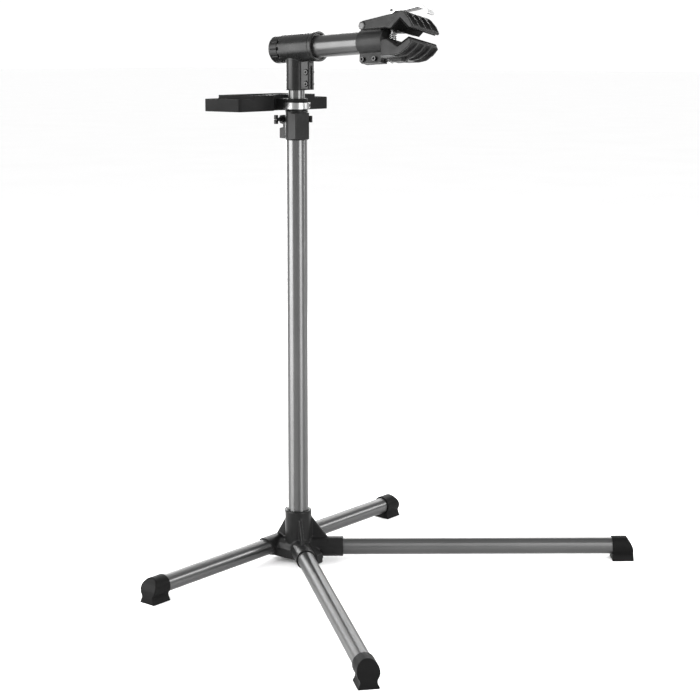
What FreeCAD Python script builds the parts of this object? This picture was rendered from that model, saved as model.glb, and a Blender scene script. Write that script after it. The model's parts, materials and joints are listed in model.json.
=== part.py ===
import FreeCAD, Part
import math
import os
import Sketcher

# Bike repair stand. Millimetres. +Z is up, +X runs forward between the two long
# legs and along the arm, and the origin is on the mast axis at floor level.

os.makedirs("parts", exist_ok=True)
doc = FreeCAD.newDocument("bike_repair_stand")
Vector = FreeCAD.Vector
Rotation = FreeCAD.Rotation

SIZES = {
    # base
    "leg_od": (31.0, "outside diameter of the legs"),
    "tube_wall": (1.5, "wall of legs, mast and upper tube"),
    "leg_axis_height": (26.0, "leg centre line above the floor"),
    "leg_angle": (39.5, "front legs either side of straight ahead"),
    "front_foot_radius": (606.0, "mast axis to a front foot"),
    "rear_tube_setback": (44.0, "rear cross tube behind the mast axis"),
    "rear_foot_span": (328.0, "mast plane to a rear foot"),
    "sleeve_od": (37.0, "hub sleeves around the legs"),
    "front_sleeve_reach": (84.0, "mast axis to a front sleeve mouth"),
    "rear_sleeve_length": (98.0, "rear sleeve over its top, from lip to lip"),
    "rear_sleeve_under": (31.0, "mast plane to the mouth of the rear sleeve underneath"),
    "hub_box_front": (22.0, "mast axis to the front of the hub box"),
    "hub_box_top": (40.0, "top of the hub box"),
    "toe_reach": (52.0, "mast axis to the front of the hub toe"),
    "toe_bottom": (2.5, "underside of the hub toe"),
    "socket_od": (49.4, "mast socket of the hub"),
    "hub_top": (98.0, "top of the mast socket"),
    "hub_bottom": (9.0, "underside of the hub"),
    "web_thickness": (6.0, "ribs of the hub"),
    "leg_bolt_reach": (41.0, "mast axis to a leg screw"),
    "leg_bolt": (6.0, "leg screw thread"),
    "fit": (0.1, "gap all round a tube in its sleeve"),
    # feet
    "foot_od": (36.5, "foot sleeve"),
    "foot_length": (40.0, "foot along the leg"),
    "foot_base_wide": (34.0, "foot base across the leg"),
    "foot_neck_wide": (26.5, "foot neck across the leg"),
    # mast and height clamp
    "mast_od": (38.0, "mast tube"),
    "mast_bottom": (20.0, "lower end of the mast in its socket"),
    "mast_top": (830.0, "upper end of the mast"),
    "collar_od": (41.6, "height collar"),
    "collar_bottom": (785.0, "lower end of the height collar"),
    "collar_top": (838.4, "upper end of the height collar"),
    "collar_flat": (21.4, "axis to the flat of the height collar"),
    "collar_flat_half": (14.0, "half the width of the flat"),
    "collar_flat_turn": (-20.0, "way that the flat faces, from straight ahead"),
    "ear_reach": (33.5, "axis to the rear edge of the collar ears"),
    "ear_width": (18.0, "collar ears across"),
    "skewer_setback": (27.0, "clamp skewer behind the mast axis"),
    "skewer_height": (822.0, "clamp skewer above the floor"),
    "skewer": (5.0, "clamp skewer diameter"),
    "skewer_eye": (17.0, "mast plane to the lever pin"),
    # upper tube
    "upper_od": (30.0, "upper tube"),
    "upper_bottom": (300.0, "lower end of the upper tube"),
    "upper_top": (918.0, "upper end of the upper tube"),
    # tray
    "tray_front": (27.0, "mast axis to the front edge of the tray"),
    "tray_back": (114.0, "mast axis to the rear edge of the tray"),
    "tray_half": (121.0, "half the tray width"),
    "tray_raised_half": (83.0, "half the raised middle of the tray"),
    "tray_bottom": (837.5, "underside of the tray"),
    "tray_rim": (860.0, "rim of the tray wings"),
    "tray_raised_rim": (866.0, "rim of the raised middle"),
    "tray_wall": (3.5, "tray walls and floor"),
    "ring_od": (41.2, "tray ring"),
    "ring_bottom": (839.0, "lower end of the tray ring"),
    "ring_top": (859.6, "upper end of the tray ring"),
    "band_od": (45.4, "steel band round the tray ring"),
    "band_bottom": (841.0, "lower edge of the band"),
    "band_height": (11.4, "band height"),
    # head
    "head_bottom": (874.6, "lower end of the head sleeve"),
    "head_sleeve_od": (38.0, "head sleeve"),
    "arm_height": (949.4, "arm axis over the mast"),
    "arm_tilt": (3.3, "arm axis above level"),
    "arm_roll": (10.0, "clamp turned about the arm axis at rest"),
    "arm_od": (39.0, "arm tube"),
    "arm_wall": (2.0, "arm tube wall"),
    "barrel_od": (51.5, "head barrel"),
    "barrel_back": (26.0, "mast axis to the rear end of the barrel"),
    "barrel_front": (55.0, "mast axis to the front end of the barrel"),
    "lip_od": (53.4, "front lip of the barrel"),
    "knob_od": (50.0, "lock knob"),
    "knob_length": (20.5, "lock knob"),
    "head_ear_reach": (35.4, "mast axis to the front of the pinch ears"),
    "head_ear_width": (16.0, "pinch ears across"),
    "pinch_bolt": (5.0, "pinch bolt thread"),
    # clamp, along the arm axis and above it
    "jaw_sleeve_od": (44.0, "clamp sleeve round the arm tube"),
    "jaw_sleeve_start": (153.5, "mast axis to the clamp sleeve"),
    "jaw_block_start": (210.0, "mast axis to the jaw block"),
    "jaw_half": (39.0, "half the jaw width"),
    "flange_drop": (38.0, "arm axis to the underside of the flange"),
    "nut_recess": (6.5, "notch for the clamp nut up into the flange"),
    "pivot_reach": (168.0, "mast axis to the upper jaw pivot"),
    "pivot_rise": (25.0, "arm axis to the upper jaw pivot"),
    "pivot_pin": (6.0, "upper jaw pivot pin"),
    "pivot_head": (14.0, "heads of the pivot pin"),
    "pivot_lug_width": (34.0, "pivot lug across"),
    "pivot_pin_length": (46.0, "pivot pin between the undersides of its heads"),
    "rod_reach": (218.0, "mast axis to the clamp rod"),
    "clamp_rod": (8.0, "clamp rod"),
    "cam_rise": (51.0, "arm axis to the lever pin"),
    "lever_length": (79.0, "lever pin to the lever tip"),
    "lever_width": (18.0, "clamp lever across"),
}


class Size:
    """A length with its number and the sheet formula that it comes from."""

    def __init__(self, value, text):
        self.value = value
        self.text = text

    def join(self, other, sign, value):
        text = other.text if isinstance(other, Size) else repr(float(other))
        return Size(value, "(%s %s %s)" % (self.text, sign, text))

    def __add__(self, other):
        return self.join(other, "+", self.value + number(other))

    def __sub__(self, other):
        return self.join(other, "-", self.value - number(other))

    def __mul__(self, other):
        return self.join(other, "*", self.value * number(other))

    def __truediv__(self, other):
        return self.join(other, "/", self.value / number(other))

    def __neg__(self):
        return self * -1


def number(size):
    return size.value if isinstance(size, Size) else float(size)


def make_sheet():
    sheet = doc.addObject("Spreadsheet::Sheet", "Sizes")
    table = {}
    for row, (alias, (value, note)) in enumerate(SIZES.items(), start=1):
        sheet.set("A%d" % row, note)
        sheet.set("B%d" % row, str(value))
        sheet.setAlias("B%d" % row, alias)
        table[alias] = Size(value, "Sizes." + alias)
    doc.recompute()
    return table


size = make_sheet()


def set_size(item, name, length):
    """Give a property its number and bind it to the sheet."""
    setattr(item, name, number(length))
    if isinstance(length, Size):
        item.setExpression(name, length.text)


def circle(x, y, diameter):
    return ("circle", x, y, diameter)


def loop(*points):
    return ("loop", points)


def rectangle(x_low, y_low, x_high, y_high):
    return loop((x_low, y_low), (x_high, y_low), (x_high, y_high), (x_low, y_high))


def mirrored(points):
    """Points, then the same points mirrored over the X axis and in reverse."""
    return list(points) + [(x, -y) for x, y in reversed(points)]


def pin_point(sketch, geometry, end, x, y):
    """Fix one point of a sketch from the origin, bound to the sheet."""
    for kind, axis, value in (("DistanceX", -2, x), ("DistanceY", -1, y)):
        if number(value) == 0:
            sketch.addConstraint(Sketcher.Constraint("PointOnObject", geometry, end, axis))
            continue
        index = sketch.addConstraint(Sketcher.Constraint(kind, -1, 1, geometry, end, number(value)))
        if isinstance(value, Size):
            sketch.setExpression("Constraints[%d]" % index, value.text)


def draw(sketch, outline):
    if outline[0] == "circle":
        _, x, y, diameter = outline
        shape = Part.Circle(Vector(number(x), number(y), 0), Vector(0, 0, 1), number(diameter) / 2)
        index = sketch.addGeometry(shape, False)
        pin_point(sketch, index, 3, x, y)
        limit = sketch.addConstraint(Sketcher.Constraint("Diameter", index, number(diameter)))
        if isinstance(diameter, Size):
            sketch.setExpression("Constraints[%d]" % limit, diameter.text)
        return
    points = outline[1]
    corners = [Vector(number(x), number(y), 0) for x, y in points]
    lines = []
    for start, end in zip(corners, corners[1:] + corners[:1]):
        lines.append(sketch.addGeometry(Part.LineSegment(start, end), False))
    for line, following in zip(lines, lines[1:] + lines[:1]):
        sketch.addConstraint(Sketcher.Constraint("Coincident", line, 2, following, 1))
    for line, (x, y) in zip(lines, points):
        pin_point(sketch, line, 1, x, y)


class Piece:
    """A body, with short calls for the sketched features that it is made of.

    Sketches lie on XY (looking down), XZ or YZ. A feature starts at `start` along
    the third axis and grows up that axis, or to both sides of it. `turn` swings a
    sketch on XZ or YZ about the vertical, and `tilt` tips one on YZ upward.
    """

    def __init__(self, label, x=0, y=0, z=0, rotation=None):
        self.body = doc.addObject("PartDesign::Body", label)
        self.body.Label = label
        self.body.AllowCompound = True
        self.body.Placement = FreeCAD.Placement(
            Vector(number(x), number(y), number(z)), rotation or Rotation())
        for axis, value in (("x", x), ("y", y), ("z", z)):
            if isinstance(value, Size):
                self.body.setExpression(".Placement.Base." + axis, value.text)
        self.count = 0

    def sketch(self, plane, outlines, start=0, turn=0, tilt=0, height=0):
        self.count += 1
        name = "%s_sketch_%d" % (self.body.Name, self.count)
        sketch = self.body.newObject("Sketcher::SketchObject", name)
        role = plane + "_Plane"
        origin_plane = [f for f in self.body.Origin.OriginFeatures if f.Role == role][0]
        sketch.AttachmentSupport = [(origin_plane, "")]
        sketch.MapMode = "FlatFace"
        side = -1 if plane == "XZ" else 1
        spin = Rotation(Vector(0, 1, 0), number(turn))
        spin = spin.multiply(Rotation(Vector(1, 0, 0), -number(tilt)))
        offset = Vector(0, number(height), 0) + spin.multVec(Vector(0, 0, side * number(start)))
        sketch.AttachmentOffset = FreeCAD.Placement(offset, spin)
        if isinstance(start, Size) and not number(turn) and not number(tilt):
            sketch.setExpression(".AttachmentOffset.Base.z", (start * side).text)
        for outline in outlines:
            draw(sketch, outline)
        return sketch

    def grow(self, kind, plane, outlines, length, both, place):
        sketch = self.sketch(plane, outlines, **place)
        feature = self.body.newObject("PartDesign::" + kind, "%s_%s_%d" % (
            self.body.Name, kind.lower(), self.count))
        feature.Profile = sketch
        set_size(feature, "Length", length)
        if both:
            feature.SideType = "Symmetric"
        else:
            feature.Reversed = (plane == "XZ") != (kind == "Pocket")
        sketch.Visibility = False
        return feature

    def pad(self, plane, outlines, length, both=False, **place):
        return self.grow("Pad", plane, outlines, length, both, place)

    def cut(self, plane, outlines, length, both=False, **place):
        return self.grow("Pocket", plane, outlines, length, both, place)

    def repeat(self, feature, times):
        """Repeat a feature round the normal of its own sketch."""
        pattern = self.body.newObject("PartDesign::PolarPattern", "%s_pattern_%d" % (
            self.body.Name, self.count))
        pattern.Originals = [feature]
        pattern.Axis = (feature.Profile[0], ["N_Axis"])
        pattern.Angle = 360
        pattern.Occurrences = times
        self.body.Tip = pattern
        return pattern

    def dress(self, kind, length, chosen):
        """Fillet or chamfer the edges of the tip that `chosen` picks."""
        doc.recompute()
        base = self.body.Tip
        names = ["Edge%d" % (i + 1) for i, edge in enumerate(base.Shape.Edges) if chosen(edge)]
        if not names:
            raise RuntimeError("no edge to %s on %s" % (kind, self.body.Label))
        feature = self.body.newObject("PartDesign::" + kind, "%s_%s" % (self.body.Name, kind.lower()))
        feature.Base = (base, names)
        if kind == "Fillet":
            set_size(feature, "Radius", length)
        else:
            set_size(feature, "Size", length)
        doc.recompute()
        return feature


def runs_along(edge, direction):
    """True for a straight edge parallel to the direction."""
    if edge.Curve.TypeId != "Part::GeomLine":
        return False
    return abs(abs(edge.Curve.Direction.dot(direction)) - 1) < 0.001


def is_circle(edge, diameter):
    """True for a full circle of the diameter."""
    if edge.Curve.TypeId != "Part::GeomCircle" or not edge.isClosed():
        return False
    return abs(edge.Curve.Radius * 2 - number(diameter)) < 0.01


UP = Vector(0, 0, 1)
finished = []


def finish(*pieces):
    for piece in pieces:
        finished.append(piece.body if isinstance(piece, Piece) else piece)


def group(label, pieces):
    """One node for alike pieces that stay separate solids."""
    compound = doc.addObject("Part::Compound", label)
    compound.Label = label
    compound.Links = [piece.body for piece in pieces]
    finish(compound)


def tube(label, outside, wall, low, high):
    """A round tube up its own Z axis."""
    piece = Piece(label)
    piece.pad("XY", [circle(0, 0, outside), circle(0, 0, outside - wall * 2)], high - low, start=low)
    return piece


# ---------------------------------------------------------------- base

LEG_SIDES = (("left", 1), ("right", -1))
leg_bore = size["leg_od"] + size["fit"] * 2
leg_height = size["leg_axis_height"]


def base_hub():
    """Casting with the mast socket, two front sleeves, the rear sleeve and the toe."""
    hub = Piece("base_hub")
    socket = size["socket_od"]
    sleeve = size["sleeve_od"]
    bottom = size["hub_bottom"]
    setback = -size["rear_tube_setback"]
    under = size["rear_sleeve_under"]
    reach = size["front_sleeve_reach"]
    bolt_place = size["leg_bolt_reach"]
    hub.pad("XY", [circle(0, 0, socket)], size["hub_top"] - bottom, start=bottom)
    hub.pad("XZ", [circle(setback, leg_height, sleeve)], size["rear_sleeve_length"], both=True)
    top = size["hub_box_top"]
    box = loop((-under, bottom), (under, bottom), (under, 26), (24, top - 4), (15, top),
               (-15, top), (-24, top - 4), (-under, 26))
    hub.pad("YZ", [box], size["hub_box_front"] - setback, start=setback)
    rear_rib = loop((0, 12), (0, 88), (-24, 84), (setback - 4, 46), (setback - 4, 12))
    hub.pad("XZ", [rear_rib], 12, both=True)
    toe = loop((18, size["toe_bottom"]), (size["toe_reach"], size["toe_bottom"]),
               (size["toe_reach"], 20), (18, size["hub_box_top"]))
    hub.pad("XZ", [toe], 18, both=True)
    for _, side in LEG_SIDES:
        angle = side * number(size["leg_angle"])
        hub.pad("YZ", [circle(0, leg_height, sleeve)], reach, turn=angle)
        rib = loop((15, leg_height), (15, 88), (24, 85), (56, 43), (56, leg_height))
        hub.pad("XZ", [rib], size["web_thickness"], both=True, turn=angle)
    for side in (1, -1):
        lip = loop((28.5 * side, 3), (58 * side, 3), (58 * side, 50), (52 * side, 50))
        hub.cut("YZ", [lip], sleeve + 2, start=setback - sleeve / 2 - 1)
    hub.cut("XY", [circle(0, 0, size["mast_od"] + size["fit"] * 2)],
            size["hub_top"] - size["mast_bottom"] + 2, start=size["mast_bottom"])
    hub.cut("XZ", [circle(setback, leg_height, leg_bore)], size["rear_sleeve_length"] + 4, both=True)
    for _, side in LEG_SIDES:
        angle = side * number(size["leg_angle"])
        hub.cut("YZ", [circle(0, leg_height, leg_bore)], reach, start=30, turn=angle)
        across = math.radians(angle)
        hub.cut("XY", [circle(bolt_place * math.cos(across), bolt_place * math.sin(across),
                              size["leg_bolt"] + 0.2)], leg_height, start=0)
    hub.cut("YZ", [circle(0, size["hub_top"] - 7, size["leg_bolt"])], 20, start=-35)
    hub.cut("XY", [circle(setback, 0, size["pinch_bolt"])], 20, start=0)
    hub.dress("Chamfer", 1, lambda e: is_circle(e, socket) and e.CenterOfMass.z > 90)
    finish(hub)


def legs():
    for name, side in LEG_SIDES:
        turn = Rotation(UP, side * number(size["leg_angle"]))
        leg = Piece("front_leg_" + name, z=leg_height, rotation=turn)
        leg.pad("YZ", [circle(0, 0, size["leg_od"]), circle(0, 0, size["leg_od"] - size["tube_wall"] * 2)],
                size["front_foot_radius"] - 27.5, start=30.5)
        leg.cut("XY", [circle(size["leg_bolt_reach"], 0, size["leg_bolt"])], 16, start=-16)
        finish(leg)
    cross = Piece("rear_cross_tube", x=-size["rear_tube_setback"], z=leg_height)
    cross.pad("XZ", [circle(0, 0, size["leg_od"]), circle(0, 0, size["leg_od"] - size["tube_wall"] * 2)],
              (size["rear_foot_span"] + 3) * 2, both=True)
    cross.cut("XY", [circle(0, 0, size["pinch_bolt"])], 16, start=-16)
    finish(cross)


def foot(label, x, y, angle):
    """Moulded foot: a sleeve on a waisted, flared base, with a raked outer end."""
    piece = Piece(label, x=x, y=y, rotation=Rotation(UP, angle))
    half = size["foot_base_wide"] / 2
    neck = size["foot_neck_wide"] / 2
    length = size["foot_length"]
    mouth = -(length / 2) + 0.5
    half_profile = [(half, 0), (half, 2), (half - 1.6, 4.5), (neck + 0.6, 8), (neck, 11),
                    (neck + 0.6, 14), (neck + 3, 18)]
    profile = half_profile + [(-u, z) for u, z in reversed(half_profile)]
    piece.pad("YZ", [loop(*profile)], length, start=mouth)
    piece.pad("YZ", [circle(0, leg_height, size["foot_od"])], length, start=mouth)
    rake = loop((30, -1), (20.5, -1), (20.4, 10), (19, 23), (17.4, 28), (14.6, 34), (11, 39),
                (6.5, 46), (6.5, 50), (30, 50))
    piece.cut("XZ", [rake], 60, both=True)
    piece.cut("YZ", [circle(0, leg_height, leg_bore)], 22.6, start=mouth)
    finish(piece)


def feet():
    reach = size["front_foot_radius"]
    for name, side in LEG_SIDES:
        angle = math.radians(side * number(size["leg_angle"]))
        foot("foot_front_" + name, reach * math.cos(angle), reach * math.sin(angle), math.degrees(angle))
        foot("foot_rear_" + name, -size["rear_tube_setback"], size["rear_foot_span"] * side, side * 90)


def hexagon(x, y, across_flats):
    """Six corners of a nut or a key recess."""
    corners = []
    for step in range(6):
        angle = math.radians(60 * step + 30)
        radius = across_flats / math.sqrt(3)
        corners.append((x + radius * math.cos(angle), y + radius * math.sin(angle)))
    return loop(*corners)


def screw(label, thread, head, length, key, **place):
    """Button-head screw: head under the origin, shank up its own Z axis."""
    piece = Piece(label, **place)
    high = head * 0.4
    piece.pad("XY", [circle(0, 0, head)], high, start=-high)
    piece.pad("XY", [circle(0, 0, thread)], length)
    piece.cut("XY", [hexagon(0, 0, key)], head * 0.25, start=-high - 0.1)
    return piece


def leg_screws():
    screws = []
    reach = number(size["leg_bolt_reach"])
    for name, side in LEG_SIDES:
        angle = math.radians(side * number(size["leg_angle"]))
        screws.append(screw("leg_screw_" + name, size["leg_bolt"] - 0.1, 10.5, 7.5, 4,
                            x=reach * math.cos(angle), y=reach * math.sin(angle), z=leg_height - 18.8))
    group("leg_screws", screws)


def hub_screws():
    finish(screw("cross_tube_screw", size["pinch_bolt"] - 0.1, 9, 9, 3,
                 x=-size["rear_tube_setback"], z=leg_height - 19.2))
    finish(screw("mast_screw", size["leg_bolt"] - 0.1, 11, 9, 4, x=-size["socket_od"] / 2 - 0.6,
                 z=size["hub_top"] - 7, rotation=Rotation(Vector(0, 1, 0), 90)))


# ---------------------------------------------------------------- mast and height clamp

def mast():
    piece = tube("mast_tube", size["mast_od"], size["tube_wall"], size["mast_bottom"], size["mast_top"])
    piece.cut("YZ", [circle(0, size["hub_top"] - 7, size["leg_bolt"])], 10, start=-24)
    finish(piece)
    finish(tube("collar_bush", size["mast_od"] - size["tube_wall"] * 2 - 0.1,
                (size["mast_od"] - size["tube_wall"] * 2 - 0.1 - size["upper_od"] - 0.2) / 2,
                size["mast_top"] - 40, size["mast_top"]))


def height_collar():
    """Clamp collar with a faceted front and two ears on a slit at the back."""
    piece = Piece("height_collar")
    low = size["collar_bottom"]
    high = size["collar_top"]
    half = size["collar_od"] / 2
    piece.pad("XY", [circle(0, 0, size["collar_od"])], high - low, start=low)
    corner = Vector(number(size["collar_flat"]), number(size["collar_flat_half"]), 0)
    touch = math.atan2(corner.y, corner.x) + math.acos(number(half) / corner.Length)
    round_part = (number(half) * math.cos(touch), number(half) * math.sin(touch))
    turn = Rotation(UP, number(size["collar_flat_turn"]))
    outline = [turn.multVec(Vector(x, y, 0)) for x, y in mirrored([round_part, (corner.x, corner.y)])]
    piece.pad("XY", [loop(*[(point.x, point.y) for point in outline])], high - low - 6, start=low + 2)
    ear = size["ear_reach"]
    bolt_line = size["skewer_height"]
    ears = loop((-15, low + 2), (-ear, low + 3), (-ear, low + 21), (-25, low + 23), (-25, bolt_line - 9),
                (-ear, bolt_line - 7), (-ear, bolt_line + 7), (-15, bolt_line + 9))
    piece.pad("XZ", [ears], size["ear_width"], both=True)
    piece.cut("XY", [circle(0, 0, size["mast_od"] + 0.1)], size["mast_top"] - low, start=low)
    piece.cut("XY", [circle(0, 0, size["upper_od"] + 0.4)], high - size["mast_top"] + 1,
              start=size["mast_top"])
    piece.cut("XZ", [rectangle(-40, low - 1, -10, size["mast_top"] + 2)], 3, both=True)
    piece.cut("XZ", [circle(-size["skewer_setback"], bolt_line, size["skewer"] + 0.1)], 30, both=True)
    finish(piece)


def collar_clamp():
    """Skewer with an eye, thumb nut, cam lever and the lever's pin."""
    setback = -size["skewer_setback"]
    height = size["skewer_height"]
    eye = size["skewer_eye"]
    bolt = Piece("collar_bolt", x=setback, z=height)
    bolt.pad("XZ", [circle(0, 0, size["skewer"])], eye + 26, start=-26)
    bolt.pad("XY", [circle(0, eye, 10)], 6.4, both=True)
    bolt.cut("XY", [circle(0, eye, 4.1)], 12, both=True)
    finish(bolt)
    nut = Piece("collar_thumb_nut", x=setback, z=height)
    ear_face = size["ear_width"] / 2
    nut.pad("XZ", [circle(0, 0, 12), circle(0, 0, size["skewer"] + 0.1)], 3, start=-ear_face - 3.2)
    grip = nut.pad("XZ", [loop((-4, -3), (4, -3), (4.8, 0), (4, 3), (-4, 3), (-4.8, 0)),
                          circle(0, 0, size["skewer"] + 0.1)], 10, start=-ear_face - 13.2)
    nut.pad("XZ", [loop((-2.6, -8), (2.6, -8), (2.6, 8), (-2.6, 8)), circle(0, 0, size["skewer"] + 0.1)],
            6, start=-ear_face - 19.2)
    grip.Label = "thumb_nut_grip"
    finish(nut)
    pin = Piece("collar_lever_pin", x=setback, y=eye, z=height)
    pin.pad("XY", [circle(0, 0, 4)], 13, both=True)
    finish(pin)
    lever = Piece("collar_lever", x=setback, y=eye, z=height)
    cam = 7.4
    handle = loop((-cam, -2), (-cam, 3), (-4, 8), (6, 10), (22, 11.5), (31, 13.4), (36.5, 14.8), (39, 13.2),
                  (39.5, 9), (37.5, 7.5), (35, 10), (31, 9.6), (24, 7.6), (10, 4.5), (cam, 0),
                  (5, -5), (0, -cam), (-5, -5))
    lever.pad("XY", [handle], 12, both=True)
    lever.cut("XY", [circle(0, 0, 15.5)], 6.8, both=True)
    lever.cut("XY", [circle(0, 0, 4.1)], 20, both=True)
    finish(lever)


# ---------------------------------------------------------------- upper tube and tray

def upper_tube():
    finish(tube("inner_tube", size["upper_od"], size["tube_wall"], size["upper_bottom"], size["upper_top"]))
    guide = Piece("inner_tube_guide")
    low = size["upper_bottom"]
    bore = size["mast_od"] - size["tube_wall"] * 2
    core = size["upper_od"] - size["tube_wall"] * 2
    guide.pad("XY", [circle(0, 0, bore - 0.2)], 14, start=low - 14.3)
    guide.pad("XY", [circle(0, 0, core - 0.1)], 18, start=low - 0.3)
    guide.cut("XY", [circle(0, 0, core - 8)], 40, start=low - 15)
    finish(guide)


def tool_tray():
    """Moulded tray behind the mast, with the split ring that holds it."""
    piece = Piece("tool_tray")
    front = -size["tray_front"]
    back = -size["tray_back"]
    half = size["tray_half"]
    raised = size["tray_raised_half"]
    wall = size["tray_wall"]
    low = size["tray_bottom"]
    rim = size["tray_rim"]
    top = size["tray_raised_rim"]
    piece.pad("XY", [rectangle(back, -half, front, half)], rim - low, start=low)
    piece.dress("Fillet", 5, lambda e: runs_along(e, UP))
    piece.pad("XY", [rectangle(back, -raised, front, raised)], top - low - 2, start=low + 2)
    inner = raised + wall
    saddle = 41
    well_back = back + wall
    well_side = raised - wall
    middle = mirrored([(well_back, -well_side), (front - wall, -well_side), (front - wall, -(well_side - 32)),
                       (-saddle - 7, -(well_side - 32))])
    wells = [rectangle(well_back, -(half - wall), front - wall, -inner),
             rectangle(well_back, inner, front - wall, half - wall), loop(*middle)]
    piece.cut("XY", wells, 40, start=low + wall)
    piece.cut("XY", [circle(0, 0, saddle * 2)], 60, start=low - 5)
    ring_height = size["ring_top"] - size["ring_bottom"]
    piece.pad("XY", [rectangle(-saddle - 2, -13, -17, 13)], ring_height, start=size["ring_bottom"])
    piece.pad("XY", [circle(0, 0, size["ring_od"])], ring_height, start=size["ring_bottom"])
    slot = [circle(0, 0, size["band_od"] + 0.4), circle(0, 0, size["ring_od"])]
    piece.cut("XY", slot, size["band_height"] + 0.4, start=size["band_bottom"] - 0.2)
    piece.cut("XY", [circle(0, 0, size["upper_od"] + 0.1)], 60, start=low - 5)
    finish(piece)


def tray_band():
    band = Piece("tray_band")
    low = size["band_bottom"]
    outer = size["band_od"] / 2
    screw_line = low + size["band_height"] / 2
    band.pad("XY", [circle(0, 0, size["band_od"])], size["band_height"], start=low)
    band.pad("XY", [rectangle(-7, outer - 3, 7, outer + 7)], size["band_height"] - 1, start=low + 0.5)
    band.cut("XY", [circle(0, 0, size["ring_od"] + 0.1)], 30, start=low - 5)
    band.cut("YZ", [circle(outer + 3, screw_line, 6.1)], 30, both=True)
    finish(band)
    piece = screw("tray_band_screw", 6, 9, 16, 4, x=-8, y=outer + 3, z=screw_line,
                  rotation=Rotation(Vector(0, 1, 0), 90))
    finish(piece)


# ---------------------------------------------------------------- head

def on_arm(label, roll=True):
    """A body in the arm's frame: X along the arm axis, from the mast axis."""
    rotation = Rotation(Vector(0, 1, 0), -number(size["arm_tilt"]))
    if roll:
        rotation = rotation.multiply(Rotation(Vector(1, 0, 0), -number(size["arm_roll"])))
    return Piece(label, z=size["arm_height"], rotation=rotation)


def head_casting():
    """Tee with a split sleeve on the upper tube and a barrel round the arm."""
    piece = Piece("head_casting")
    low = size["head_bottom"]
    axis = {"height": size["arm_height"], "tilt": size["arm_tilt"]}
    piece.pad("XY", [circle(0, 0, size["head_sleeve_od"])], size["arm_height"] - low, start=low)
    half_ear = size["head_ear_width"] / 2
    piece.pad("XY", [rectangle(8, -half_ear, size["head_ear_reach"], half_ear)], 50, start=low + 1)
    back = size["barrel_back"]
    front = size["barrel_front"]
    piece.pad("YZ", [circle(0, 0, size["barrel_od"])], front + back, start=-back, **axis)
    piece.pad("YZ", [circle(0, 0, size["lip_od"])], 8, start=front - 8, **axis)
    piece.cut("YZ", [circle(0, 0, size["lip_od"] + 4), circle(0, 0, size["barrel_od"] - 1.6)], 2,
              start=front - 10, **axis)
    piece.cut("YZ", [circle(0, 0, size["arm_od"] + 5)], front + back, start=-back + 6, **axis)
    piece.cut("YZ", [circle(0, 0, 12)], 20, start=-back - 2, **axis)
    notch = piece.cut("YZ", [rectangle(-2.8, size["barrel_od"] / 2 - 3, 2.8, size["barrel_od"] / 2 + 3)], 4,
                      start=-back, **axis)
    piece.repeat(notch, 12)
    piece.cut("XY", [circle(0, 0, size["upper_od"] + 0.1)], size["upper_top"] - low + 2, start=low)
    piece.cut("XY", [rectangle(8, -1.5, 40, 1.5)], 43, start=low)
    bolts = pinch_places(circle, size["pinch_bolt"] + 0.2)
    piece.cut("XZ", bolts, 30, both=True)
    piece.cut("XZ", pinch_places(circle, size["pinch_bolt"] + 4), 6, start=-half_ear - 3)
    nut_seats = [hexagon(x, z, NUT_FLATS + 0.3) for x, z in head_bolt_points()]
    piece.cut("XZ", nut_seats, 8, start=half_ear - NUT_DEPTH)
    piece.dress("Fillet", 2, lambda e: runs_along(e, UP) and e.BoundBox.XMin > 35
                and abs(e.CenterOfMass.y) > 7)
    finish(piece)


HEAD_BOLT_RISES = (11.5, 32.5)
NUT_FLATS = 8
NUT_DEPTH = 3.6


def pinch_places(shape, across):
    """The same outline at both pinch bolts of the head."""
    reach = size["head_ear_reach"] - 6
    return [shape(reach, size["head_bottom"] + rise, across) for rise in HEAD_BOLT_RISES]


def head_bolt_points():
    """Where the pinch bolts of the head cross the plane of the slit."""
    reach = number(size["head_ear_reach"]) - 6
    return [(reach, number(size["head_bottom"]) + rise) for rise in HEAD_BOLT_RISES]


def head_fasteners():
    thread = size["pinch_bolt"]
    half_ear = size["head_ear_width"] / 2
    bolts = Piece("head_pinch_bolts")
    bolts.pad("XZ", pinch_places(circle, thread * 1.7), 4.5, start=-half_ear - 1.5)
    bolts.pad("XZ", pinch_places(circle, thread), 18, start=-half_ear + 2)
    bolts.cut("XZ", [hexagon(x, z, 4) for x, z in head_bolt_points()], 2.6, start=-half_ear - 1.6)
    finish(bolts)
    nuts = Piece("head_pinch_nuts")
    for x, z in head_bolt_points():
        nuts.pad("XZ", [hexagon(x, z, NUT_FLATS), circle(x, z, thread + 0.1)], 4,
                 start=half_ear - NUT_DEPTH + 0.1)
    finish(nuts)


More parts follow.
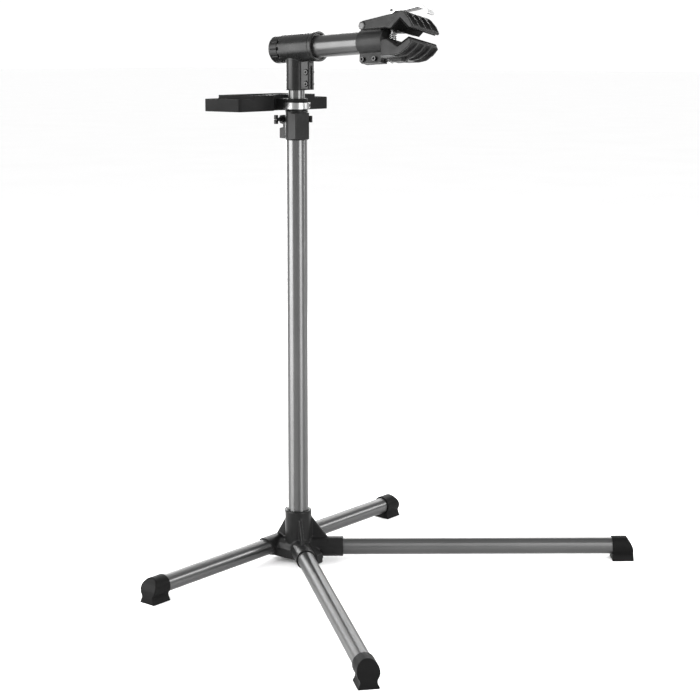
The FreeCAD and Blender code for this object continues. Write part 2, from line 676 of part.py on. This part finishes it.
def lock_parts():
    """Rear knob, its threaded bolt, the plug in the arm and the front bush."""
    back = size["barrel_back"]
    knob = on_arm("lock_knob", roll=False)
    knob_back = -back - 0.5 - size["knob_length"]
    knob.pad("YZ", [circle(0, 0, size["knob_od"])], size["knob_length"], start=knob_back)
    knob.dress("Fillet", 3.5, lambda e: is_circle(e, size["knob_od"]) and local_x(e) < -number(back) - 10)
    groove = knob.cut("YZ", [rectangle(-0.9, size["knob_od"] / 2 - 1.2, 0.9, size["knob_od"] / 2 + 2)],
                      size["knob_length"] - 6, start=-back - 0.5 - size["knob_length"] + 6)
    knob.repeat(groove, 12)
    knob.cut("YZ", [circle(0, 0, size["knob_od"] - 14)], 3, start=knob_back)
    knob.cut("YZ", [circle(0, 0, 10)], 30, start=knob_back + 6)
    finish(knob)
    bolt = on_arm("lock_bolt", roll=False)
    bolt.pad("YZ", [circle(0, 0, 9.9)], 42, start=knob_back + 6.2)
    finish(bolt)
    arm_bore = size["arm_od"] - size["arm_wall"] * 2
    plug = on_arm("arm_end_plug")
    plug.pad("YZ", [circle(0, 0, arm_bore - 0.1)], 22, start=-14)
    plug.pad("YZ", [circle(0, 0, size["arm_od"] - 1)], 3.4, start=-17.2)
    plug.cut("YZ", [circle(0, 0, 10)], 60, start=-20)
    finish(plug)
    bush = on_arm("arm_bush", roll=False)
    length = size["barrel_front"] + 9.5
    bush.pad("YZ", [circle(0, 0, size["arm_od"] + 4.9), circle(0, 0, size["arm_od"] + 0.1)], length,
             start=-12)
    finish(bush)
    arm = on_arm("arm_tube")
    arm.pad("YZ", [circle(0, 0, size["arm_od"]), circle(0, 0, arm_bore)],
            size["jaw_block_start"] + 9.1, start=-13.6)
    finish(arm)


def local_x(edge):
    """Where an edge lies along X in its body."""
    return edge.BoundBox.Center.x


# ---------------------------------------------------------------- clamp

RIB_PLACES = (-39.0, -20.5, -2.0, 16.5, 35.0)
RIB_WIDTH = 4.0
jaw_bolt_places = (163.0, 189.0)
jaw_bolt_drop = -31.0


def rib_pockets(piece, outline):
    """Pockets between the fins across the front of a jaw."""
    for left, right in zip(RIB_PLACES, RIB_PLACES[1:]):
        piece.cut("XZ", [outline], right - left - RIB_WIDTH, start=left + RIB_WIDTH)


LOWER_V = ((237.5, -3.0), (259.5, -16.5), (282.0, -3.5))
UPPER_V = ((244.5, 11.5), (261.0, 26.7), (278.0, 11.5))


PAD_THICKNESS = 2.4


def offset_v(points, distance):
    """The two-legged line moved away from the mouth of its V."""
    (ax, ay), (bx, by), (cx, cy) = points
    side = 1 if by > ay else -1
    rear = math.hypot(bx - ax, by - ay)
    front = math.hypot(cx - bx, cy - by)
    rear_normal = (-side * (by - ay) / rear, side * (bx - ax) / rear)
    front_normal = (-side * (cy - by) / front, side * (cx - bx) / front)
    slope = (bx - ax) / rear
    return ((ax + rear_normal[0] * distance, ay + rear_normal[1] * distance),
            (bx, by + side * distance / slope),
            (cx + front_normal[0] * distance, cy + front_normal[1] * distance))


def jaw_body():
    """Clamp sleeve, pinch flange, pivot lug and the lower jaw in one casting."""
    piece = on_arm("jaw_body")
    start = size["jaw_sleeve_start"]
    block = size["jaw_block_start"]
    drop = -size["flange_drop"]
    half = size["jaw_half"]
    piece.pad("YZ", [circle(0, 0, size["jaw_sleeve_od"])], block - start, start=start)
    flange = loop((start + 1, -12), (start + 1, drop + 5), (start + 6, drop), (246, drop),
                  (262, drop + 7), (262, -24))
    piece.pad("XZ", [flange], 18, both=True)
    seat = offset_v(LOWER_V, PAD_THICKNESS)
    jaw = [(block, -32), (block, -5), (seat[0][0] - 3, -4.5)] + list(seat) + [
        (286, -9.5), (287, -13), (279, -22), (264, -31), (248, -33)]
    piece.pad("XZ", [loop(*jaw)], half * 2, both=True)
    neck = size["jaw_sleeve_od"] / 2 - 0.8
    for side in (1, -1):
        wide = (half + 0.5) * side
        shoulder = loop((block - 2, neck * side), (block, neck * side), (block + 15, wide), (block - 2, wide))
        piece.cut("XY", [shoulder], 70, start=-50)
    pivot = (size["pivot_reach"], size["pivot_rise"])
    rail = loop((start + 6, 12), (start + 6, 22), (start + 10, 25), (size["pivot_reach"] + 10, 25),
                (size["pivot_reach"] + 14, 21), (block - 6, 19), (block - 2, 5))
    piece.pad("XZ", [rail], size["pivot_lug_width"], both=True)
    piece.pad("XZ", [circle(pivot[0], pivot[1], 16)], size["pivot_lug_width"], both=True)
    shell = offset_v(LOWER_V, 8.5)
    pocket = loop((247, -29.5), (shell[1][0] - 1, shell[1][1] - 0.5), (shell[2][0] - 1.5, shell[2][1] - 0.5),
                  (298, -12), (288, -36), (247, -40))
    rib_pockets(piece, pocket)
    piece.cut("YZ", [circle(0, 0, size["arm_od"] + 0.1)], block - 4 - start, start=start)
    piece.cut("XZ", [rectangle(start - 2, drop - 4, block - 6, -16)], 2.6, both=True)
    piece.cut("XZ", [circle(pivot[0], pivot[1], size["pivot_pin"] + 0.1)], 60, both=True)
    rod = size["rod_reach"]
    piece.cut("XY", [circle(rod, 0, size["clamp_rod"] + 0.4)], 120, both=True)
    piece.cut("XZ", [rectangle(rod - 15, drop - 2, rod + 8.5, drop + size["nut_recess"])], 30, both=True)
    bolt_holes = [circle(x, jaw_bolt_drop, size["pinch_bolt"] + 0.2) for x in jaw_bolt_places]
    piece.cut("XZ", bolt_holes, 40, both=True)
    finish(piece)


def jaw_fasteners():
    thread = size["pinch_bolt"]
    bolts = on_arm("jaw_pinch_bolts")
    bolts.pad("XZ", [circle(x, jaw_bolt_drop, thread * 1.7) for x in jaw_bolt_places], 4, start=-13.1)
    bolts.pad("XZ", [circle(x, jaw_bolt_drop, thread) for x in jaw_bolt_places], 24, start=-9.5)
    bolts.cut("XZ", [hexagon(x, jaw_bolt_drop, 4) for x in jaw_bolt_places], 2.6, start=-13.2)
    finish(bolts)
    nuts = on_arm("jaw_pinch_nuts")
    for x in jaw_bolt_places:
        nuts.pad("XZ", [hexagon(x, jaw_bolt_drop, 8), circle(x, jaw_bolt_drop, thread + 0.1)], 4, start=9.1)
    finish(nuts)


def jaw_pad(label, mouth):
    """V-shaped pad that lines a jaw from side to side."""
    piece = on_arm(label)
    outer = offset_v(mouth, PAD_THICKNESS - 0.05)
    piece.pad("XZ", [loop(*(list(mouth) + list(reversed(outer))))], size["jaw_half"] * 2, both=True)
    finish(piece)


def upper_jaw():
    """Hinged jaw: two cheeks on the pivot lug, widening to a finned V."""
    piece = on_arm("upper_jaw")
    reach = size["pivot_reach"]
    rise = size["pivot_rise"]
    half = size["jaw_half"]
    seat = offset_v(UPPER_V, PAD_THICKNESS)
    tail = [(reach + 2, rise + 8.5), (reach - 6, rise + 6.5), (reach - 9, rise), (reach - 6, rise - 5)]
    cheek_side = [(reach, rise - 6.5), (reach + 20, 18), (226, 17), (237, 12.8), (239, 12.4),
                  (266, 41), (253.5, 41)]
    piece.pad("XZ", [loop(*(cheek_side + tail))], half * 2, both=True)
    narrow = size["pivot_pin_length"] / 2 + 0.5
    for sign in (1, -1):
        beyond = (half + 1) * sign
        cheek = loop((150, narrow * sign), (160, narrow * sign), (270, (half - 3.2) * sign), (270, beyond),
                     (150, beyond))
        piece.cut("XY", [cheek], 120, both=True)
    back_edge = [(254.5, 38), (234.5, 16.2), (235, 13.5)]
    front = [(285, 11.5), (288, 14.5), (280.5, 27), (269, 38.5), (262.5, 42.3), (258.5, 42.3)]
    piece.pad("XZ", [loop(*(list(seat) + front + back_edge))], half * 2, both=True)
    for start in (-36, 22.5):
        piece.cut("XZ", [circle(reach, rise, size["pivot_head"] + 1)], 13.5, start=start)
    between = loop((150, 10), (230, 10), (230, rise + 3), (206, rise + 5), (186, rise + 5),
                   (182, 50), (150, 50))
    piece.cut("XZ", [between], size["pivot_lug_width"] + 2, both=True)
    shell = offset_v(UPPER_V, 7.5)
    pocket = loop((shell[1][0] + 3, shell[1][1] - 1), (shell[2][0] + 0.5, shell[2][1] + 0.5),
                  (294, 14), (294, 46), (265, 48))
    rib_pockets(piece, pocket)
    rod = size["rod_reach"]
    piece.cut("XY", [rectangle(rod - 8, -4.8, rod + 7, 4.8)], 120, both=True)
    piece.cut("XY", [rectangle(rod - 10, -10, rod + 10, 10)], 20, start=36)
    piece.cut("XZ", [circle(reach, rise, size["pivot_pin"] + 0.1)], 60, both=True)
    finish(piece)


def jaw_hardware():
    """Pivot pin, clamp rod and nut, cam seat, lever, its pin, and the spring."""
    reach = size["pivot_reach"]
    rise = size["pivot_rise"]
    rod_place = size["rod_reach"]
    cam = size["cam_rise"]
    pin = on_arm("jaw_pivot_pin")
    pin.pad("XZ", [circle(reach, rise, size["pivot_pin"])], size["pivot_pin_length"], both=True)
    for start in (-25.8, 22.6):
        pin.pad("XZ", [circle(reach, rise, size["pivot_head"])], 3.2, start=start)
    pin.dress("Fillet", 2.8, lambda e: is_circle(e, size["pivot_head"]) and abs(e.CenterOfMass.y) > 23)
    finish(pin)
    rod = on_arm("clamp_rod")
    recess = size["nut_recess"] - size["flange_drop"]
    bottom = recess - 8
    rod.pad("XY", [circle(rod_place, 0, size["clamp_rod"])], cam - bottom, start=bottom)
    rod.pad("XZ", [circle(rod_place, cam, 11)], 7.6, both=True)
    rod.cut("XZ", [circle(rod_place, cam, 5.1)], 20, both=True)
    finish(rod)
    nut = on_arm("clamp_nut")
    nut.pad("XY", [hexagon(number(rod_place), 0, 13), circle(rod_place, 0, size["clamp_rod"] + 0.1)], 6,
            start=recess - 6.2)
    finish(nut)
    seat = on_arm("cam_seat")
    seat.pad("XZ", [circle(rod_place, 43.4, 14)], 17, both=True)
    seat.cut("XY", [rectangle(rod_place - 12, -12, rod_place + 12, 12)], 20, start=cam - 6.9)
    seat.cut("XY", [circle(rod_place, 0, size["clamp_rod"] + 0.4)], 120, both=True)
    finish(seat)
    clamp_lever(rod_place, cam)
    lever_pin = on_arm("lever_pin")
    lever_pin.pad("XZ", [circle(rod_place, cam, 5)], 20, both=True)
    finish(lever_pin)
    spring = on_arm("jaw_spring")
    spring_at = spring.sketch("XZ", [circle(6.2, 0, 1.5)])
    coil = spring.body.newObject("PartDesign::AdditiveHelix", "jaw_spring_coil")
    coil.Profile = spring_at
    coil.ReferenceAxis = (spring_at, ["V_Axis"])
    coil.Mode = "height-turns-angle"
    coil.Height = 16.2
    coil.Turns = 4.5
    finish(spring)
    along_arm = spring.body.Placement.Rotation.multVec(Vector(number(rod_place), 0, -3.6))
    spring.body.Placement.Base = spring.body.Placement.Base + along_arm
    spring.body.setExpression(".Placement.Base.z", (size["arm_height"] + along_arm.z).text)


def clamp_lever(rod_place, cam):
    """Cam lever with a forked cam end and a tip that curls down."""
    lever = on_arm("clamp_lever")
    tip = rod_place + size["lever_length"]
    outline = loop((rod_place - 6, cam - 2.5), (rod_place - 6, cam + 3), (rod_place - 2, cam + 6.5),
                   (tip - 24, cam + 6.5), (tip - 13, cam + 4), (tip - 3, cam - 3.5), (tip, cam - 10),
                   (tip - 4.5, cam - 11), (tip - 8, cam - 5), (tip - 16, cam - 0.5), (tip - 24, cam + 1.5),
                   (tip - 34, cam), (rod_place + 22, cam - 2.5), (rod_place + 10, cam - 1.5),
                   (rod_place + 6, cam - 3.5), (rod_place + 2, cam - 6.2), (rod_place - 3, cam - 5.8))
    lever.pad("XZ", [outline], size["lever_width"], both=True)
    lever.cut("XZ", [circle(rod_place, cam, 19)], 8.2, both=True)
    lever.cut("XZ", [circle(rod_place, cam, 5.1)], 40, both=True)
    finish(lever)


def check_and_export():
    doc.recompute()
    for item in doc.Objects:
        if "Invalid" in item.State or "Error" in item.State:
            raise RuntimeError("%s: %s" % (item.Label, item.State))
    for item in finished:
        shape = item.Shape
        if shape.isNull() or not shape.isValid() or not shape.Solids:
            raise RuntimeError("bad shape: " + item.Label)
        shape.exportStep("parts/%s.step" % item.Label)
        print("%-20s solids %d volume %.0f" % (item.Label, len(shape.Solids), shape.Volume))


base_hub()
legs()
feet()
leg_screws()
hub_screws()
mast()
height_collar()
collar_clamp()
upper_tube()
tool_tray()
tray_band()
head_casting()
head_fasteners()
lock_parts()
jaw_body()
jaw_fasteners()
jaw_pad("lower_jaw_pad", LOWER_V)
upper_jaw()
jaw_pad("upper_jaw_pad", UPPER_V)
jaw_hardware()
check_and_export()
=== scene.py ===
import json
import math

import bpy
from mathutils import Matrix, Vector


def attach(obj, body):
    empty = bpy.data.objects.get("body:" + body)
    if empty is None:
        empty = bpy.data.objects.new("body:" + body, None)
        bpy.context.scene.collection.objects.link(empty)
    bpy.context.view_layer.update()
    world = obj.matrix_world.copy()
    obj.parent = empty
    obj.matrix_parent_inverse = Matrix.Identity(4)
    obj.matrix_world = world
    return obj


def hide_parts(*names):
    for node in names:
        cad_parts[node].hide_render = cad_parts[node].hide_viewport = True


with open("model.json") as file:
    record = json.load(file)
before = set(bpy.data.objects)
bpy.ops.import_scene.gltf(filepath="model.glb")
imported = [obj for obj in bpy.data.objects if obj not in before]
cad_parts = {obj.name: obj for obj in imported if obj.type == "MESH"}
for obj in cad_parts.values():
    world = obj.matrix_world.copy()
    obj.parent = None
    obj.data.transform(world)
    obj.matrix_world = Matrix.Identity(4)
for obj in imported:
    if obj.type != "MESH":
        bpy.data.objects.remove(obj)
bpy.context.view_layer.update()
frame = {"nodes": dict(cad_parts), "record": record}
NODES = frame["nodes"]
RECORD = frame["record"]
BODY_OF = {node: body for body, nodes in RECORD["behaviour"]["bodies"].items() for node in nodes}
SLOT_OF = {entry["node"]: entry["material_slot"] for entry in RECORD["subparts"]}
MM = 0.001


# ---------------------------------------------------------------- materials

class Shader:
    """One procedural material, and short calls for the nodes in it."""

    # where a Mix node that mixes colours has its sockets
    MIX_FACTOR, MIX_FIRST, MIX_SECOND = 0, 6, 7
    MIX_RESULT = 2

    def __init__(self, name):
        self.material = bpy.data.materials.new(name)
        self.material.use_nodes = True
        self.tree = self.material.node_tree
        self.surface = self.tree.nodes["Principled BSDF"]
        self.place = self.add("TexCoord").outputs["Object"]

    def add(self, kind, **values):
        """A new node, with values for its inputs."""
        node = self.tree.nodes.new("ShaderNode" + kind)
        self.fill(node, values)
        return node

    def fill(self, node, values):
        for name, value in values.items():
            node.inputs[name.replace("_", " ")].default_value = value

    def link(self, out, into):
        self.tree.links.new(out, into)

    def set(self, **values):
        """Uniform values of the surface."""
        self.fill(self.surface, values)

    def set_colour(self, colour):
        self.link(colour, self.surface.inputs["Base Color"])

    def set_roughness(self, value, low, high):
        self.link(self.spread(value, low, high), self.surface.inputs["Roughness"])

    def noise(self, scale, detail=3.0, rough=0.55, stretch=(1, 1, 1)):
        """Noise in the object's own space, finer along an axis with more stretch."""
        mapping = self.add("Mapping", Scale=stretch)
        self.link(self.place, mapping.inputs["Vector"])
        node = self.add("TexNoise", Scale=scale, Detail=detail, Roughness=rough)
        self.link(mapping.outputs["Vector"], node.inputs["Vector"])
        return node.outputs["Fac"]

    def cells(self, scale):
        """Distance to the nearest of many scattered points."""
        node = self.add("TexVoronoi", Scale=scale)
        self.link(self.place, node.inputs["Vector"])
        return node.outputs["Distance"]

    def spread(self, value, low, high, start=0.3, end=0.7):
        """The value from start to end, mapped to low to high."""
        node = self.add("MapRange", From_Min=start, From_Max=end, To_Min=low, To_Max=high)
        self.link(value, node.inputs["Value"])
        return node.outputs["Result"]

    def colours(self, value, *stops):
        """The value mapped through colours at places from 0 to 1."""
        node = self.add("ValToRGB")
        ramp = node.color_ramp
        while len(ramp.elements) < len(stops):
            ramp.elements.new(0.5)
        for element, (position, colour) in zip(ramp.elements, stops):
            element.position = position
            element.color = (*colour, 1)
        self.link(value, node.inputs["Fac"])
        return node.outputs["Color"]

    def mix(self, factor, first, second, kind="MIX"):
        """Two colours mixed. Each argument is a socket or a plain value."""
        node = self.add("Mix")
        node.data_type = "RGBA"
        node.blend_type = kind
        for source, index in ((factor, self.MIX_FACTOR),
                              (first, self.MIX_FIRST), (second, self.MIX_SECOND)):
            socket = node.inputs[index]
            if isinstance(source, (int, float)):
                socket.default_value = source
            elif isinstance(source, tuple):
                socket.default_value = (*source, 1)
            else:
                self.link(source, socket)
        return node.outputs[self.MIX_RESULT]

    def bevel(self, radius, samples):
        """The normal that the surface would have with its edges rounded."""
        node = self.add("Bevel", Radius=radius)
        node.samples = samples
        return node.outputs["Normal"]

    def edges(self, radius):
        """How much a point lies on an edge, from 0 to 1."""
        dot = self.add("VectorMath")
        dot.operation = "DOT_PRODUCT"
        self.link(self.bevel(radius, samples=4), dot.inputs[0])
        self.link(self.add("NewGeometry").outputs["Normal"], dot.inputs[1])
        return self.spread(dot.outputs["Value"], 1.0, 0.0, start=0.75, end=0.98)

    def relief(self, height, strength, distance, round_edges=0.0):
        """Bump from a height, over edges that catch light as if slightly rounded."""
        bump = self.add("Bump", Strength=strength, Distance=distance)
        self.link(height, bump.inputs["Height"])
        if round_edges:
            self.link(self.bevel(round_edges, samples=6), bump.inputs["Normal"])
        self.link(bump.outputs["Normal"], self.surface.inputs["Normal"])


def grey(tone):
    return (tone, tone, tone)


def tube_paint(name, along, tone, rough):
    """Metallic grey paint on a drawn tube: fine flake, and a sheen that runs along the tube."""
    shader = Shader(name)
    dark, light = grey(tone * 0.91), grey(tone * 1.09)
    base = shader.colours(shader.noise(scale=6), (0.25, dark), (0.75, light))
    speck = shader.colours(shader.cells(2600), (0.0, grey(tone * 1.09 * 1.3)), (0.45, dark))
    shader.set_colour(shader.mix(0.2, base, speck))
    shader.set_roughness(shader.noise(scale=18, detail=5, rough=0.65), rough - 0.03, rough + 0.04)
    shader.set(Metallic=0.95, Anisotropic=0.9)
    axis = shader.add("CombineXYZ", X=along[0], Y=along[1], Z=along[2])
    turned = shader.add("VectorTransform")
    turned.vector_type = "VECTOR"
    turned.convert_from = "OBJECT"
    turned.convert_to = "WORLD"
    shader.link(axis.outputs["Vector"], turned.inputs["Vector"])
    shader.link(turned.outputs["Vector"], shader.surface.inputs["Tangent"])
    shader.relief(shader.noise(scale=1500, detail=2), strength=0.05, distance=0.1 * MM)
    return shader.material


def dark_casting(name, dark, light, rough, gloss):
    """Satin dark casting: fine sand texture, dull patches, and edges painted lighter in scuffed
    places, partly wear and partly a painted highlight.
    """
    shader = Shader(name)
    cloud = shader.noise(scale=16, detail=5, rough=0.6)
    base = shader.colours(cloud, (0.3, grey(dark)), (0.7, grey(light)))
    rubs = shader.noise(scale=60, detail=8, rough=0.75)
    scuffs = shader.colours(rubs, (0.52, grey(0)), (0.75, grey(1)))
    # edge mask from the bevel, broken up by scuffs: partly edge wear, partly a painted highlight
    # where edges catch light
    worn_and_highlit_edges = shader.mix(1.0, scuffs, shader.edges(0.9 * MM), "MULTIPLY")
    amount = shader.spread(worn_and_highlit_edges, 0.0, 0.55, start=0.0, end=1.0)
    # edges mixed towards light grey 0.10: worn edges together with a painted edge highlight
    shader.set_colour(shader.mix(amount, base, grey(0.10)))
    shader.set_roughness(shader.noise(scale=45, detail=5, rough=0.65), rough - 0.08, rough + 0.10)
    shader.set(Specular_IOR_Level=gloss)
    shader.relief(shader.noise(scale=1100, detail=3, rough=0.6),
                  strength=0.28, distance=0.22 * MM, round_edges=0.9 * MM)
    return shader.material


def moulded_plastic(name, dark, light, rough, gloss, grain):
    """Black moulded plastic with a spark-eroded grain and faint flow marks."""
    shader = Shader(name)
    flow = shader.noise(scale=7, detail=3, rough=0.5, stretch=(1, 1, 2.5))
    shader.set_colour(shader.colours(flow, (0.3, grey(dark)), (0.7, grey(light))))
    shader.set_roughness(shader.noise(scale=30, detail=5, rough=0.6), rough - 0.06, rough + 0.08)
    shader.set(Specular_IOR_Level=gloss)
    shader.relief(shader.noise(scale=grain, detail=3, rough=0.6),
                  strength=0.35, distance=0.22 * MM, round_edges=0.8 * MM)
    return shader.material


def pad_rubber(name, dark, light, gloss):
    """Matte jaw rubber with a bloom of dust and a pebbled skin."""
    shader = Shader(name)
    bloom = shader.noise(scale=40, detail=6, rough=0.7)
    shader.set_colour(shader.colours(bloom, (0.32, grey(dark)), (0.68, grey(light))))
    shader.set_roughness(shader.noise(scale=70, detail=4), 0.62, 0.82)
    shader.set(Specular_IOR_Level=gloss)
    shader.relief(shader.cells(700), strength=0.35, distance=0.2 * MM, round_edges=0.6 * MM)
    return shader.material


def drawn_steel(name, tone, rough, stretch, metal):
    """Bright or dark-plated steel with fine drawing lines and small smudges."""
    shader = Shader(name)
    lines = shader.noise(scale=420, detail=5, rough=0.6, stretch=stretch)
    shader.set_colour(shader.colours(lines, (0.3, grey(tone * 0.8)), (0.65, grey(tone))))
    shader.set_roughness(shader.noise(scale=55, detail=5, rough=0.65), rough - 0.04, rough + 0.12)
    shader.set(Metallic=metal)
    shader.relief(lines, strength=0.06, distance=0.1 * MM, round_edges=0.4 * MM)
    return shader.material


# material: (darker tone, lighter tone, roughness, specular level)
CASTINGS = {
    "cast_dark": (0.0043, 0.0081, 0.27, 0.13),
    "hub_dark": (0.0049, 0.0092, 0.33, 0.10),
    "jaw_dark": (0.0080, 0.0150, 0.38, 0.085),
}
# material: (darker tone, lighter tone, roughness, specular level, scale of the grain)
PLASTICS = {
    "plastic_black": (0.0035, 0.0070, 0.30, 0.10, 900),
    "tray_black": (0.0042, 0.0080, 0.48, 0.030, 900),
    "foot_black": (0.0024, 0.0048, 0.50, 0.045, 700),
}
# material: (darker tone, lighter tone, specular level)
RUBBERS = {
    "jaw_rubber": (0.002, 0.0045, 0.03),
}
# material: (tone, roughness, how much finer the lines are along X, Y and Z, metallic)
STEELS = {
    "bright_steel": (0.32, 0.26, (1, 1, 30), 1.0),
    "dark_zinc": (0.035, 0.38, (1, 1, 30), 1.0),
    "band_steel": (0.24, 0.30, (30, 30, 1), 1.0),
    "pin_steel": (0.06, 0.42, (1, 1, 30), 1.0),
    "lever_silver": (0.46, 0.38, (30, 1, 1), 0.75),
}
FINISHES = ((dark_casting, CASTINGS), (moulded_plastic, PLASTICS),
            (pad_rubber, RUBBERS), (drawn_steel, STEELS))

LEG_TURN = math.radians(39.5)
ARM_DIRECTION = (0.99834, 0, 0.05756)
# node: (direction of the tube, tone of its paint, roughness)
TUBES = {
    "mast_tube": ((0, 0, 1), 0.086, 0.32),
    "inner_tube": ((0, 0, 1), 0.086, 0.32),
    "front_leg_left": ((math.cos(LEG_TURN), math.sin(LEG_TURN), 0), 0.075, 0.32),
    "front_leg_right": ((math.cos(LEG_TURN), -math.sin(LEG_TURN), 0), 0.075, 0.32),
    "rear_cross_tube": ((0, 1, 0), 0.086, 0.32),
    "arm_tube": (ARM_DIRECTION, 0.064, 0.36),
}
MATERIAL_OF_SLOT = {
    "cast_black": "cast_dark",
    "black_plastic": "plastic_black",
    "foot_rubber": "foot_black",
    "jaw_rubber": "jaw_rubber",
    "bright_steel": "bright_steel",
}
# the nodes that look different from the rest of their slot
MATERIAL_OF_NODE = {
    "base_hub": "hub_dark",
    "jaw_body": "jaw_dark",
    "upper_jaw": "jaw_dark",
    "tool_tray": "tray_black",
    "tray_band": "band_steel",
    "clamp_lever": "lever_silver",
    "jaw_pivot_pin": "pin_steel",
    "cam_seat": "pin_steel",
    "lever_pin": "dark_zinc",
    "head_pinch_bolts": "dark_zinc",
    "head_pinch_nuts": "dark_zinc",
    "jaw_pinch_bolts": "dark_zinc",
    "jaw_pinch_nuts": "dark_zinc",
    "leg_screws": "dark_zinc",
    "cross_tube_screw": "dark_zinc",
    "mast_screw": "dark_zinc",
    "tray_band_screw": "dark_zinc",
    "collar_bolt": "dark_zinc",
    "collar_lever_pin": "dark_zinc",
}


def paint_nodes():
    """Give every carried-over CAD node its material."""
    materials = {name: finish(name, *look)
                 for finish, looks in FINISHES for name, look in looks.items()}
    for name, node in NODES.items():
        if name in TUBES:
            material = tube_paint("paint_" + name, *TUBES[name])
        else:
            material = materials[MATERIAL_OF_NODE.get(name) or MATERIAL_OF_SLOT[SLOT_OF[name]]]
        node.data.materials.clear()
        node.data.materials.append(material)


# ---------------------------------------------------------------- cast and moulded pieces

# node: (grid in mm, rounds of smoothing)
ROUNDED = {
    "base_hub": (1.1, 10),
    "head_casting": (0.9, 4),
    "jaw_body": (0.9, 3),
    "upper_jaw": (0.9, 3),
    "tool_tray": (1.0, 2),
    "lock_knob": (0.6, 3),
    "height_collar": (0.8, 3),
    "foot_front_left": (0.9, 4),
    "foot_front_right": (0.9, 4),
    "foot_rear_left": (0.9, 4),
    "foot_rear_right": (0.9, 4),
    "clamp_lever": (0.5, 3),
    "collar_lever": (0.5, 3),
    "collar_thumb_nut": (0.5, 3),
    "cam_seat": (0.5, 3),
}


def rounded(node, grid, rounds):
    """Put a copy of a CAD node, with the softened edges of a casting, in its place."""
    piece = bpy.data.objects.new(node + "_cast", NODES[node].data.copy())
    bpy.context.scene.collection.objects.link(piece)
    remesh = piece.modifiers.new("grid", "REMESH")
    remesh.mode = "VOXEL"
    remesh.voxel_size = grid * MM
    smooth = piece.modifiers.new("soften", "SMOOTH")
    smooth.factor = 0.5
    smooth.iterations = rounds
    shape = piece.evaluated_get(bpy.context.evaluated_depsgraph_get())
    mesh = bpy.data.meshes.new_from_object(shape)
    piece.modifiers.clear()
    piece.data = mesh
    mesh.shade_smooth()
    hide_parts(node)
    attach(piece, BODY_OF[node])


# ---------------------------------------------------------------- stage, light, camera

FLOOR_SIZE = 120
MIDDLE = (0.1, 0, 0.55)
# light: (place, point it is aimed at, watts, width, height)
LIGHTS = {
    "key_left": ((-1.25, -2.05, 0.98), MIDDLE, 160, 2.0, 2.1),
    "fill_right": ((2.38, -0.33, 1.1), MIDDLE, 66, 1.1, 2.1),
    "top": ((0.3, -0.2, 2.9), MIDDLE, 3, 1.6, 1.6),
    "back_high": ((-1.25, 2.4, 1.6), (0.3, 0.1, 0.1), 50, 2.2, 0.8),
    "low_left": ((-2.4, 1.3, 0.6), (0.25, -0.2, 0.1), 32, 1.5, 0.9),
    "low_right": ((1.95, 2.0, 1.2), (-0.05, -0.2, 0.1), 36, 1.0, 0.7),
}
WORLD_STRENGTH = 1.0
EXPOSURE = 0.06

VIEW_PLACE = (1.890, -2.180, 0.947)
VIEW_YAW = 39.01
VIEW_PITCH = 7.74
VIEW_SENSOR = 36
VIEW_LENS = 81.9
VIEW_SHIFT_Y = -0.12


def add_floor():
    bpy.ops.mesh.primitive_plane_add(size=FLOOR_SIZE, location=(0, 0, 0))
    floor = bpy.context.object
    floor.name = "floor"
    shader = Shader("floor_pale")
    shader.set_colour(shader.colours(shader.noise(scale=1.5), (0.3, grey(0.93)), (0.7, grey(0.95))))
    shader.set(Roughness=0.85)
    floor.data.materials.append(shader.material)


def add_light(name, place, aim, power, width, height):
    data = bpy.data.lights.new(name, "AREA")
    data.shape = "RECTANGLE"
    data.size = width
    data.size_y = height
    data.energy = power
    light = bpy.data.objects.new(name, data)
    bpy.context.scene.collection.objects.link(light)
    light.location = place
    light.rotation_euler = (Vector(aim) - Vector(place)).to_track_quat("-Z", "Y").to_euler()


def add_world():
    world = bpy.data.worlds.new("studio")
    bpy.context.scene.world = world
    world.use_nodes = True
    background = world.node_tree.nodes["Background"]
    background.inputs["Color"].default_value = (1, 1, 1, 1)
    background.inputs["Strength"].default_value = WORLD_STRENGTH


def add_camera():
    data = bpy.data.cameras.new("camera")
    data.sensor_width = VIEW_SENSOR
    data.lens = VIEW_LENS
    data.shift_y = VIEW_SHIFT_Y
    camera = bpy.data.objects.new("camera", data)
    bpy.context.scene.collection.objects.link(camera)
    camera.location = VIEW_PLACE
    camera.rotation_euler = (math.radians(90 - VIEW_PITCH), 0, math.radians(VIEW_YAW))
    bpy.context.scene.camera = camera
    bpy.context.scene.view_settings.view_transform = "Standard"
    bpy.context.scene.view_settings.exposure = EXPOSURE


paint_nodes()
for name, (grid, rounds) in ROUNDED.items():
    rounded(name, grid, rounds)
add_floor()
add_world()
for name, light in LIGHTS.items():
    add_light(name, *light)
add_camera()
